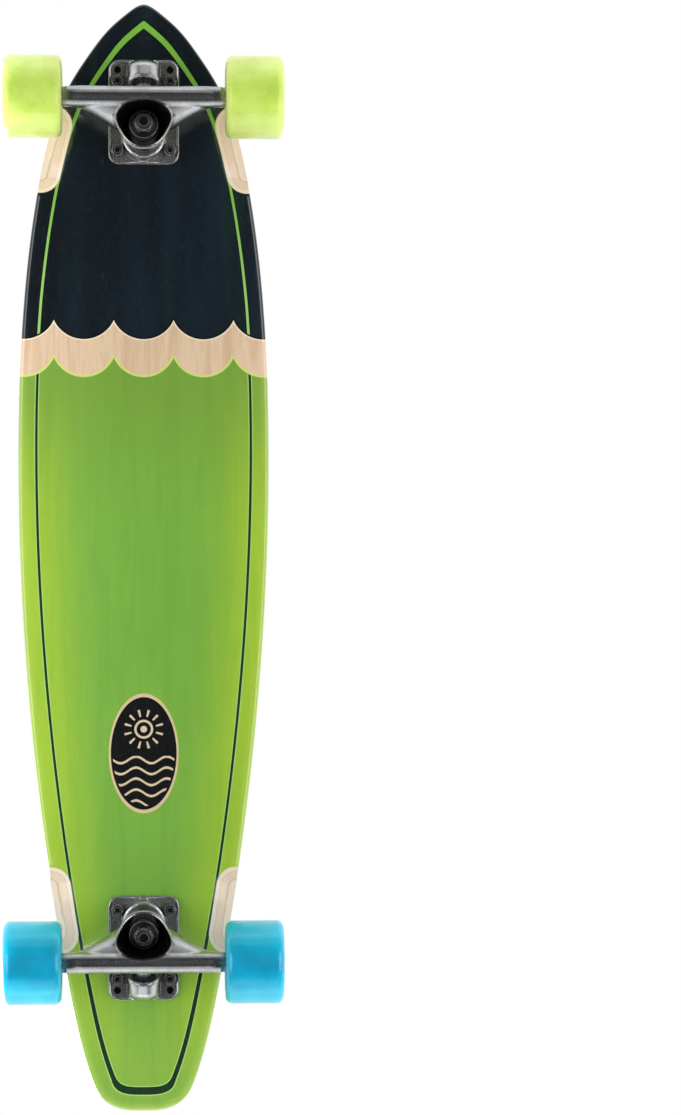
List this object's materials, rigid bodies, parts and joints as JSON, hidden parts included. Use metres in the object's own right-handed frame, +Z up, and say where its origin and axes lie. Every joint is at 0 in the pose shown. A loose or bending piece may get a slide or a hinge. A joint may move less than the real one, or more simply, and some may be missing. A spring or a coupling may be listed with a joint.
{
  "type": "longboard skateboard",
  "caption": "Pintail longboard: cambered maple deck with grip tape, cast trucks that steer on bushings, and soft urethane wheels on ball bearings.",
  "frame": {"origin": "on the ground below the middle of the deck, where the wheels stand", "axes": "+X towards the nose along the deck, +Y to the rider's left, +Z up"},
  "size_m": [0.87, 0.216, 0.1024],
  "materials": {
    "deck_maple": "pressed maple plies, printed graphics under gloss lacquer below",
    "grip": "coarse black grit-coated tape",
    "bolt_black": "black oxide steel",
    "nut_black": "black oxide steel with a nylon collar",
    "cast_aluminium": "tumbled and polished casting",
    "kingpin_steel": "black zinc steel",
    "washer_black": "black zinc steel",
    "bushing_black": "black cast urethane",
    "cup_black": "black urethane",
    "axle_steel": "bright zinc steel",
    "axle_nut_steel": "bright zinc steel with a nylon collar",
    "race_steel": "ground bearing steel",
    "ball_steel": "polished bearing steel",
    "cage_steel": "stamped steel",
    "shield_black": "black rubber-faced shield",
    "spacer_aluminium": "turned aluminium",
    "core_plastic": "moulded hub",
    "urethane_green": "translucent lime green cast urethane",
    "urethane_blue": "translucent blue cast urethane"
  },
  "bodies": {
    "board": {"deck": "deck_maple", "grip_tape": "grip", "front_mounting_bolts": "bolt_black", "front_mounting_lock_nuts": "nut_black", "front_baseplate": "cast_aluminium", "front_kingpin": "kingpin_steel", "front_seat_washer": "washer_black", "front_seat_bushing": "bushing_black", "front_road_bushing": "bushing_black", "front_cup_washer": "washer_black", "front_kingpin_nut": "nut_black", "front_pivot_cup": "cup_black", "rear_mounting_bolts": "bolt_black", "rear_mounting_lock_nuts": "nut_black", "rear_baseplate": "cast_aluminium", "rear_kingpin": "kingpin_steel", "rear_seat_washer": "washer_black", "rear_seat_bushing": "bushing_black", "rear_road_bushing": "bushing_black", "rear_cup_washer": "washer_black", "rear_kingpin_nut": "nut_black", "rear_pivot_cup": "cup_black"},
    "front_hanger": {"front_hanger": "cast_aluminium", "front_axle": "axle_steel", "front_inner_races": "race_steel", "front_spacers": "spacer_aluminium", "front_speed_rings": "axle_steel", "front_axle_nuts": "axle_nut_steel"},
    "rear_hanger": {"rear_hanger": "cast_aluminium", "rear_axle": "axle_steel", "rear_inner_races": "race_steel", "rear_spacers": "spacer_aluminium", "rear_speed_rings": "axle_steel", "rear_axle_nuts": "axle_nut_steel"},
    "front_left_wheel": {"front_left_tyre": "urethane_green", "front_left_core": "core_plastic", "front_left_outer_races": "race_steel", "front_left_shields": "shield_black"},
    "front_left_ball_sets": {"front_left_balls": "ball_steel", "front_left_cages": "cage_steel"},
    "front_right_wheel": {"front_right_tyre": "urethane_green", "front_right_core": "core_plastic", "front_right_outer_races": "race_steel", "front_right_shields": "shield_black"},
    "front_right_ball_sets": {"front_right_balls": "ball_steel", "front_right_cages": "cage_steel"},
    "rear_left_wheel": {"rear_left_tyre": "urethane_blue", "rear_left_core": "core_plastic", "rear_left_outer_races": "race_steel", "rear_left_shields": "shield_black"},
    "rear_left_ball_sets": {"rear_left_balls": "ball_steel", "rear_left_cages": "cage_steel"},
    "rear_right_wheel": {"rear_right_tyre": "urethane_blue", "rear_right_core": "core_plastic", "rear_right_outer_races": "race_steel", "rear_right_shields": "shield_black"},
    "rear_right_ball_sets": {"rear_right_balls": "ball_steel", "rear_right_cages": "cage_steel"}
  },
  "joints": [
    {"name": "front_steer", "type": "hinge", "parent": "board", "child": "front_hanger", "pos_m": [0.3327, 0, 0.05152], "axis": [0.8789, 0, 0.477], "range_deg": [-16, 16], "stiffness_Nm_per_rad": 30, "deforming": ["front_seat_bushing", "front_road_bushing"]},
    {"name": "rear_steer", "type": "hinge", "parent": "board", "child": "rear_hanger", "pos_m": [-0.2897, 0, 0.05152], "axis": [0.8789, 0, -0.477], "range_deg": [-16, 16], "stiffness_Nm_per_rad": 30, "deforming": ["rear_seat_bushing", "rear_road_bushing"]},
    {"name": "front_left_wheel_spin", "type": "hinge", "parent": "front_hanger", "child": "front_left_wheel", "pos_m": [0.3555, 0.0855, 0.032], "axis": [0, 1, 0], "continuous": true},
    {"name": "front_left_balls_orbit", "type": "hinge", "parent": "front_hanger", "child": "front_left_ball_sets", "pos_m": [0.3555, 0.0855, 0.032], "axis": [0, 1, 0], "continuous": true},
    {"name": "front_right_wheel_spin", "type": "hinge", "parent": "front_hanger", "child": "front_right_wheel", "pos_m": [0.3555, -0.0855, 0.032], "axis": [0, 1, 0], "continuous": true},
    {"name": "front_right_balls_orbit", "type": "hinge", "parent": "front_hanger", "child": "front_right_ball_sets", "pos_m": [0.3555, -0.0855, 0.032], "axis": [0, 1, 0], "continuous": true},
    {"name": "rear_left_wheel_spin", "type": "hinge", "parent": "rear_hanger", "child": "rear_left_wheel", "pos_m": [-0.3125, 0.0855, 0.032], "axis": [0, 1, 0], "continuous": true},
    {"name": "rear_left_balls_orbit", "type": "hinge", "parent": "rear_hanger", "child": "rear_left_ball_sets", "pos_m": [-0.3125, 0.0855, 0.032], "axis": [0, 1, 0], "continuous": true},
    {"name": "rear_right_wheel_spin", "type": "hinge", "parent": "rear_hanger", "child": "rear_right_wheel", "pos_m": [-0.3125, -0.0855, 0.032], "axis": [0, 1, 0], "continuous": true},
    {"name": "rear_right_balls_orbit", "type": "hinge", "parent": "rear_hanger", "child": "rear_right_ball_sets", "pos_m": [-0.3125, -0.0855, 0.032], "axis": [0, 1, 0], "continuous": true}
  ],
  "couplings": [
    {"joint": "front_left_balls_orbit", "follows": "front_left_wheel_spin", "ratio": 0.63225},
    {"joint": "front_right_balls_orbit", "follows": "front_right_wheel_spin", "ratio": 0.63225},
    {"joint": "rear_left_balls_orbit", "follows": "rear_left_wheel_spin", "ratio": 0.63225},
    {"joint": "rear_right_balls_orbit", "follows": "rear_right_wheel_spin", "ratio": 0.63225}
  ]
}
